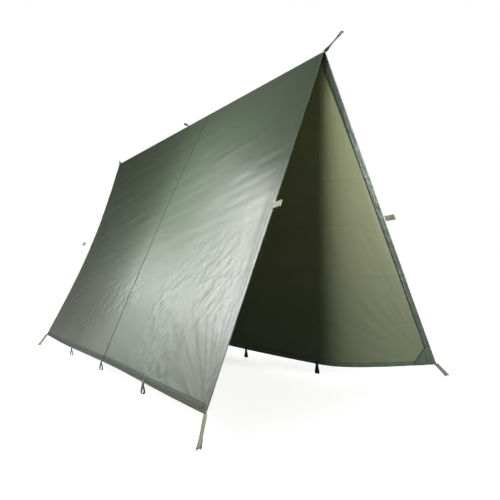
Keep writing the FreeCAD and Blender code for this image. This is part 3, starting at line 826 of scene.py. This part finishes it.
def stitches(middles, along, out, length, width):
    """Points and faces of many stitches at their middles."""
    across = unit_rows(np.cross(out, along))
    up = np.cross(along, across)
    shape = STITCH_POINTS * (length, width, width)
    points = (middles[:, None] + shape[None, :, :1] * along[:, None]
              + shape[None, :, 1:2] * across[:, None] + shape[None, :, 2:] * up[:, None])
    faces = STITCH_FACES[None] + (np.arange(len(middles)) * len(STITCH_POINTS))[:, None, None]
    return points.reshape(-1, 3), faces.reshape(-1, 3)


def run_of_stitches(slope, station, share, off, side_out):
    """Stitches along a line on the cloth, on its outer (1) or inner (-1) face."""
    webbing = bpy.context.scene.tarp_webbing
    line = slope.spot(station, share, off)
    steps = np.linalg.norm(np.diff(line, axis=0), axis=1)
    run = np.concatenate([[0], steps.cumsum()])
    count = max(2, int(run[-1] / webbing.stitch_pitch))
    at = (np.arange(count) + 0.5) * run[-1] / count
    s = np.interp(at, run, station)
    v = np.interp(at, run, share)
    middles = slope.spot(s, v, off)
    nudge = np.interp(at + 0.001, run, station), np.interp(at + 0.001, run, share)
    along = unit_rows(slope.spot(*nudge, off) - middles + 1e-12)
    out = slope.outward(s, v) * side_out
    return stitches(middles, along, out, webbing.stitch_pitch * 0.72, webbing.thread_width)


def gather(groups):
    """Several groups of points and faces as one."""
    points, faces, base = [], [], 0
    for p, f in groups:
        points.append(p)
        faces.append(f + base)
        base += len(p)
    return np.concatenate(points), np.concatenate(faces)


def make_stitching(side):
    """Rows of stitches along the hems, the edges and the centre seam, on both faces."""
    slope = slope_of(side)
    cloth = slope.cloth
    skin = cloth.thickness / 2
    groups = []
    stations = even(0.02, 3.98, 0.004)
    share = np.full_like(stations, 1 - (cloth.hem_width - HEM_STITCH) / SLOPE_LENGTH)
    groups.append(run_of_stitches(slope, stations, share, skin, 1))
    groups.append(run_of_stitches(slope, stations, share, -skin - 0.0016, -1))
    shares = even(0.004, 1 - 0.004, 0.004)
    for end in ENDS:
        inset = cloth.hem_width * EDGE_SHARE
        station = np.array([slope.inward(end, v, inset) for v in shares])
        groups.append(run_of_stitches(slope, station, shares, skin, 1))
        groups.append(run_of_stitches(slope, station, shares, -skin - 0.0028, -1))
    for offset in (-0.0065, 0.0065):
        station = np.full_like(shares, SEAM_STATION + offset / QUARTER)
        groups.append(run_of_stitches(slope, station, shares, skin, 1))
        groups.append(run_of_stitches(slope, station, shares, -skin - 0.0026, -1))
    points, faces = gather(groups)
    piece = add_piece(f"{side}_stitching", points, faces, None, (FINISHES["thread"],))
    follow_slope(piece)
    return piece


# ------------------------------------------------------------------ webbing


def joint_of(node):
    return next(j for j in frame["joints"] if j["child"] == node)


def loop_frame(node):
    """Pivot, way out, width direction and length of a CAD webbing loop."""
    joint = joint_of(node)
    pivot = np.array(joint["pos_m"], float)
    axis = np.array(joint["axis"], float)
    axis /= np.linalg.norm(axis)
    points = distinct_corners(frame["nodes"][node]) - pivot
    flat = points - np.outer(points @ axis, axis)
    way = flat.mean(0)
    way /= np.linalg.norm(way)
    width = points @ axis
    return pivot, way, axis, (points @ way).max(), width.max() - width.min()


def folded_tape(length, eye, sewn, gap, root):
    """Line of a folded tape, as (out, across): down one layer, round the eye, back."""
    depth = length - eye
    down = [(t * (sewn + root) - root, gap / 2) for t in np.linspace(0, 1, 6)]
    spread = [(sewn + (depth - sewn) * t, gap / 2 + (eye - gap / 2) * fade(t))
              for t in np.linspace(0, 1, 9)[1:]]
    turn = [(depth + eye * math.sin(q), eye * math.cos(q))
            for q in np.linspace(0, math.pi, 13)[1:-1]]
    side = down + spread
    back = [(x, -y) for x, y in reversed(side)]
    return np.array(side + turn + back)


def tape_piece(node, finish, eye, sewn, notch=0.0, lean=(0, 0, 0), twist=0.0):
    """One webbing loop, cut as a flat tape, folded over and finished with thickness."""
    webbing = bpy.context.scene.tarp_webbing
    pivot, way, axis, length, width = loop_frame(node)
    line = folded_tape(length - webbing.thickness / 2, eye, sewn, webbing.thickness * 1.12,
                       0.004 if "corner" in node else 0.0)
    columns = 7
    bpy.ops.object.select_all(action="DESELECT")
    bpy.ops.mesh.primitive_grid_add(
        x_subdivisions=columns - 1, y_subdivisions=len(line) - 1, size=1)
    piece = bpy.context.object
    piece.name = f"{node}_webbing"
    piece.data.name = piece.name
    mesh = piece.data
    spots = np.array([v.co for v in mesh.vertices], float)
    across = spots[:, 0] * (width - 0.0004)
    index = np.rint((spots[:, 1] + 0.5) * (len(line) - 1)).astype(int)
    run = np.concatenate([[0], np.linalg.norm(np.diff(line, axis=0), axis=1).cumsum()])
    out, over = line[index, 0].copy(), line[index, 1].copy()
    share = np.clip(out / length, 0, 1)
    middle = 1 - (2 * across / width) ** 2
    out = out - notch * middle * share ** 8
    over = over + 0.0004 * waves(out / 0.02, across / 0.01 + 3, len(node))
    third = np.cross(way, axis)
    turned_by = fade(share / 0.4) if "ridge" in node else np.ones_like(share)
    turn = math.radians(twist) * turned_by
    side_way = np.cos(turn)[:, None] * axis + np.sin(turn)[:, None] * third
    over_way = np.cos(turn)[:, None] * third - np.sin(turn)[:, None] * axis
    place = pivot + out[:, None] * way + across[:, None] * side_way + over[:, None] * over_way
    place += np.outer(share, lean)
    mesh.vertices.foreach_set("co", place.astype(np.float32).ravel())
    corner = np.empty(len(mesh.loops), int)
    mesh.loops.foreach_get("vertex_index", corner)
    tip = length - 0.004 - share * length
    uv = np.stack([across, np.where(share > 0.5, tip, run[index])], -1)
    layer = mesh.uv_layers.active or mesh.uv_layers.new(name="cut")
    layer.data.foreach_set("uv", uv[corner].astype(np.float32).ravel())
    mesh.materials.append(finish)
    mesh.update()
    bpy.context.view_layer.objects.active = piece
    thick = piece.modifiers.new("thickness", "SOLIDIFY")
    thick.thickness, thick.offset = webbing.thickness, 0.0
    thick.use_even_offset = True
    round_ = piece.modifiers.new("woven_edge", "BEVEL")
    round_.width, round_.segments, round_.limit_method = 0.0003, 2, "ANGLE"
    for name in ("thickness", "woven_edge"):
        bpy.ops.object.modifier_apply(modifier=name)
    bpy.ops.object.shade_smooth_by_angle(angle=math.radians(50))
    piece.matrix_world = Matrix.Identity(4)
    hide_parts(node)
    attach(piece, node)
    return piece


# how each strap or tab hangs away from straight, and how far it is turned about its length
STRAP_LEAN = {
    "left_front_corner_strap": ((-0.013, 0.011, 0.005), 42),
    "right_front_corner_strap": ((0.0, 0.0, 0.014), -38),
    "left_back_corner_strap": ((0.0, 0.0, 0.004), 25),
    "right_back_corner_strap": ((0.0, 0.0, 0.004), -20),
    "right_front_edge_loop": ((0.0, 0.0, -0.012), 0),
    "front_ridge_strap": ((0.0, 0.0, 0.0), 33),
    "back_ridge_strap": ((0.0, 0.0, 0.0), 30),
}


def make_webbing():
    made = []

    def tape(node, finish, eye, sewn, notch=0.0):
        lean, twist = STRAP_LEAN.get(node, ((0, 0, 0), 0))
        made.append(tape_piece(node, FINISHES[finish], eye, sewn, notch, lean, twist))

    for side in SIDES:
        for end in ENDS:
            tape(f"{side}_{end}_corner_strap", "pale", 0.0048, 0.078, notch=0.008)
            tape(f"{side}_{end}_edge_loop", "pale", 0.0036, 0.030)
        for where in ("front", "middle", "back"):
            tape(f"{side}_hem_loop_{where}", "dark", 0.0098, 0.006)
    for end in ENDS:
        tape(f"{end}_ridge_strap", "dark", 0.0046, 0.078)
    tape("ridge_middle_loop", "dark", 0.0080, 0.010)
    return made


# ------------------------------------------------------------------ tacks


def loop_spots():
    """Stations of the hem loops, each a little to one side of its fold."""
    beside = 0.022 / QUARTER
    return 1 + beside, 2 + beside, 3 - beside


def make_tacks(side):
    """Small sewn-on patches outside each loop, their bar tacks, and the loops' sewn ends."""
    slope = slope_of(side)
    skin = slope.cloth.thickness / 2
    webbing = bpy.context.scene.tarp_webbing
    plates, bars, tails = [], [], []

    def plate(station, share, near, far, store):
        uv = np.stack([station * QUARTER, share * SLOPE_LENGTH], -1)
        outer, inner = slope.spot(station, share, far), slope.spot(station, share, near)
        way = slope.outward(station[:1, :1], share[:1, :1])[0, 0]
        points, faces, flat, _ = shell(outer, inner, uv, way)
        store.append((points, faces, flat))

    def bar(station, share, count, turn):
        """A bar tack of close stitches, drawn from one (station, share) to another."""
        s = np.linspace(station[0], station[1], count)
        v = np.linspace(share[0], share[1], count)
        middles = slope.spot(s, v, skin + 0.0012)
        line = unit_rows((middles[-1] - middles[0])[None])[0]
        out = slope.outward(s, v)
        across = unit_rows(np.cross(out, line[None]))
        skew = unit_rows(across + 0.35 * turn * line[None])
        bars.append(stitches(middles, skew, out, 0.0052, webbing.thread_width * 1.25))

    for centre in loop_spots():
        width = np.linspace(-0.0125, 0.0125, 9) / QUARTER
        depth = np.linspace(0.0006, 0.0165, 6) / SLOPE_LENGTH
        station, share = np.meshgrid(centre + width, 1 - depth)
        plate(station, share, skin + 0.0002, skin + 0.0010, plates)
        depth = np.linspace(0.0004, 0.0260, 8) / SLOPE_LENGTH
        station, share = np.meshgrid(centre + width * 0.98, 1 - depth)
        plate(station, share, -skin - 0.0032, -skin - 0.0018, tails)
        for row in (0.004, 0.0135):
            v = 1 - row / SLOPE_LENGTH
            bar((centre + width[0], centre + width[-1]), (v, v), 22, 1)
    for end in ENDS:
        way = 1.0 if end == "front" else -1.0
        half = np.linspace(-0.016, 0.016, 9) / SLOPE_LENGTH
        distances = np.linspace(0.0006, 0.016, 6)
        station = np.array([slope.inward(end, MIDDLE + h, distances) for h in half])
        share = np.repeat((MIDDLE + half)[:, None], len(distances), 1)
        plate(station, share, skin + 0.0002, skin + 0.0010, plates)
        reach = 0.014 / SLOPE_LENGTH
        for inset in (0.004, 0.013):
            s = slope.inward(end, MIDDLE, inset)
            bar((s, s), (MIDDLE - reach, MIDDLE + reach), 26, way)
        # two bars in a V at the pulled corner
        tip = slope.inward(end, 0.995, 0.004)
        for lean in (0.006, 0.030):
            s = slope.inward(end, 0.98, lean)
            bar((tip, s), (0.9965, 0.9965 - (0.036 - lean) / SLOPE_LENGTH), 24, 1)
    pieces = []
    for name, groups, finish, slot in (
            ("tack_cloths", plates, "outer", "bar_tack"),
            ("loop_tails", tails, "dark", "dark_webbing")):
        points, faces = gather([(p, f) for p, f, _ in groups])
        uv = np.concatenate([u for _, _, u in groups])
        piece = add_piece(f"{side}_{name}", points, faces, uv, (FINISHES[finish],))
        pieces.append(piece)
    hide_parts(f"{side}_tack_patches")
    points, faces = gather(bars)
    tacks = add_piece(f"{side}_bar_tacks", points, faces, None, (FINISHES["tack"],))
    pieces.append(tacks)
    for piece in pieces:
        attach(piece, f"{side}_slope")
    return pieces


# ------------------------------------------------------------------ stage


def aimed(name, data, place, aim):
    lamp = bpy.data.objects.new(name, data)
    lamp.location = place
    lamp.rotation_euler = (Vector(aim) - Vector(place)).to_track_quat("-Z", "Y").to_euler()
    lamp.visible_camera = False
    bpy.context.scene.collection.objects.link(lamp)


def softbox(name, place, width, height, power):
    """A near softbox that looks at the left slope."""
    data = bpy.data.lights.new(name, "AREA")
    data.shape, data.size, data.size_y, data.energy = "RECTANGLE", width, height, power
    aimed(name, data, place, (-0.5, -0.9, 1.0))


def far_light(name, bearing, height, spread, power):
    """A far soft light, from a compass bearing and a height in degrees."""
    data = bpy.data.lights.new(name, "SUN")
    data.angle, data.energy = math.radians(spread), power
    b, h = math.radians(bearing), math.radians(height)
    place = (9 * math.cos(h) * math.sin(b), 9 * math.cos(h) * math.cos(b), 9 * math.sin(h))
    aimed(name, data, place, (0, 0, 0))


def camera_only(tree, seen, lit):
    """Mixes what the camera sees directly with what lights the object."""
    path = tree.nodes.new("ShaderNodeLightPath")
    mix = tree.nodes.new("ShaderNodeMixShader")
    tree.links.new(path.outputs["Is Camera Ray"], mix.inputs[0])
    tree.links.new(lit, mix.inputs[1])
    tree.links.new(seen, mix.inputs[2])
    return mix.outputs[0]


def make_stage():
    scene = bpy.context.scene
    stage = scene.tarp_stage
    bpy.ops.object.select_all(action="DESELECT")
    bpy.ops.mesh.primitive_plane_add(size=60, location=(0, 0, -0.001))
    floor = bpy.context.object
    floor.name = "studio_floor_plane"
    floor.data.materials.append(floor_finish())
    world = bpy.data.worlds.new("pale_room")
    scene.world = world
    world.use_nodes = True
    tree = world.node_tree
    tree.nodes.clear()
    seen = tree.nodes.new("ShaderNodeBackground")
    lit = tree.nodes.new("ShaderNodeBackground")
    out = tree.nodes.new("ShaderNodeOutputWorld")
    seen.inputs["Color"].default_value = (1, 1, 1, 1)
    lit.inputs["Color"].default_value = (0.95, 0.98, 1, 1)
    lit.inputs["Strength"].default_value = stage.ambient
    tree.links.new(camera_only(tree, seen.outputs[0], lit.outputs[0]), out.inputs["Surface"])
    glow = stage.sheen_light
    softbox("near_softbox", (-1.2, -0.4, 1.42), 0.8, 1.3, 0.25 * glow)
    softbox("tall_softbox", (-1.5, 0.7, 2.1), 0.8, 1.1, 0.12 * glow)
    softbox("middle_softbox", (-2.0, 2.5, 1.7), 0.9, 1.0, 0.15 * glow)
    softbox("low_softbox", (-3.0, 3.8, 1.3), 0.9, 1.7, 0.35 * glow)
    far_light("front_low_light", 170, 8, 24, stage.front_light)
    far_light("front_high_light", 180, 32, 36, stage.front_light * 0.09)
    far_light("side_light", 270, 17, 44, stage.side_light)
    far_light("overhead_light", 20, 62, 60, stage.top_light)
    far_light("back_light", 72, 30, 60, stage.back_light)
    data = bpy.data.cameras.new("front_left_camera")
    data.lens, data.sensor_width = stage.lens, 36.0
    data.shift_x, data.shift_y = -0.0117, -0.0112
    data.dof.use_dof = False
    camera = bpy.data.objects.new("front_left_camera", data)
    low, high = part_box("ridge_crest_front")
    spot = Vector(((low.x + high.x) / 2 - 1.731, low.y - 1.425, 0.699))
    aim = (Matrix.Rotation(math.radians(-40.21), 4, "Z")
           @ Matrix.Rotation(math.radians(94.18), 4, "X")
           @ Matrix.Rotation(math.radians(-0.5), 4, "Z"))
    camera.matrix_world = Matrix.Translation(spot) @ aim
    scene.collection.objects.link(camera)
    scene.camera = camera
    scene.view_settings.view_transform = "Standard"


# ------------------------------------------------------------------ operators


class TARP_OT_stage(bpy.types.Operator):
    """Add the pale floor, the soft lights and the camera"""

    bl_idname = "tarp.stage"
    bl_label = "Stage"

    def execute(self, context):
        make_stage()
        return {"FINISHED"}


class TARP_OT_cloth(bpy.types.Operator):
    """Make the four widths of coated cloth"""

    bl_idname = "tarp.cloth"
    bl_label = "Cloth"

    def execute(self, context):
        make_finishes(context.scene.tarp_cloth, context.scene.tarp_webbing)
        for side in SIDES:
            for half in ENDS:
                make_width(side, half)
        return {"FINISHED"}


class TARP_OT_hems(bpy.types.Operator):
    """Make the turned hems, felled seams, corner layers and ridge layers"""

    bl_idname = "tarp.hems"
    bl_label = "Hems and layers"

    def execute(self, context):
        for side in SIDES:
            make_hems(side)
            make_corner_layers(side)
        make_ridge_layers()
        return {"FINISHED"}


class TARP_OT_webbing(bpy.types.Operator):
    """Make the straps and loops of folded webbing"""

    bl_idname = "tarp.webbing"
    bl_label = "Webbing"

    def execute(self, context):
        make_webbing()
        return {"FINISHED"}


class TARP_OT_stitching(bpy.types.Operator):
    """Sew the hems and seams and tack the loops"""

    bl_idname = "tarp.stitching"
    bl_label = "Stitching"

    def execute(self, context):
        for side in SIDES:
            make_stitching(side)
            make_tacks(side)
        return {"FINISHED"}


class TARP_OT_declare(bpy.types.Operator):
    """Gathers the names of the pieces sewn onto each width of cloth; nothing uses the lists"""

    bl_idname = "tarp.declare"
    bl_label = "State cloth sizes"

    def execute(self, context):
        for side in SIDES:
            for half in ENDS:
                sewn_on = [f"{side}_{half}_edge_fold", f"{side}_{half}_corner_layer"]
                if half == "front":
                    sewn_on += [f"{side}_{part}" for part in (
                        "hem_fold", "felled_seam", "seam_lap", "stitching",
                        "tack_cloths", "bar_tacks", "loop_tails")]
        return {"FINISHED"}


class TARP_PT_panel(bpy.types.Panel):
    """Lists the tarp's operators and sizes"""

    bl_idname = "TARP_PT_panel"
    bl_label = "Ridge tarp shelter"
    bl_space_type = "VIEW_3D"
    bl_region_type = "UI"
    bl_category = "Tarp"

    def draw(self, context):
        for operator in OPERATORS:
            self.layout.operator(operator.bl_idname)
        for name in ("tarp_cloth", "tarp_webbing", "tarp_stage"):
            group = getattr(context.scene, name)
            box = self.layout.box()
            for key in group.__annotations__:
                box.prop(group, key)


OPERATORS = (TARP_OT_stage, TARP_OT_cloth, TARP_OT_hems, TARP_OT_webbing, TARP_OT_stitching,
             TARP_OT_declare)
GROUPS = {"tarp_cloth": TarpClothSizes, "tarp_webbing": TarpWebbingSizes,
          "tarp_stage": TarpStageSizes}


def register():
    for made in (*GROUPS.values(), *OPERATORS, TARP_PT_panel):
        bpy.utils.register_class(made)
    for name, group in GROUPS.items():
        setattr(bpy.types.Scene, name, bpy.props.PointerProperty(type=group))


def unregister():
    for name in GROUPS:
        delattr(bpy.types.Scene, name)
    for made in (TARP_PT_panel, *reversed(OPERATORS), *GROUPS.values()):
        bpy.utils.unregister_class(made)


def main():
    register()
    bpy.ops.tarp.stage()
    bpy.ops.tarp.cloth()
    bpy.ops.tarp.hems()
    bpy.ops.tarp.webbing()
    bpy.ops.tarp.stitching()
    bpy.ops.tarp.declare()


if __name__ == "__main__":
    main()
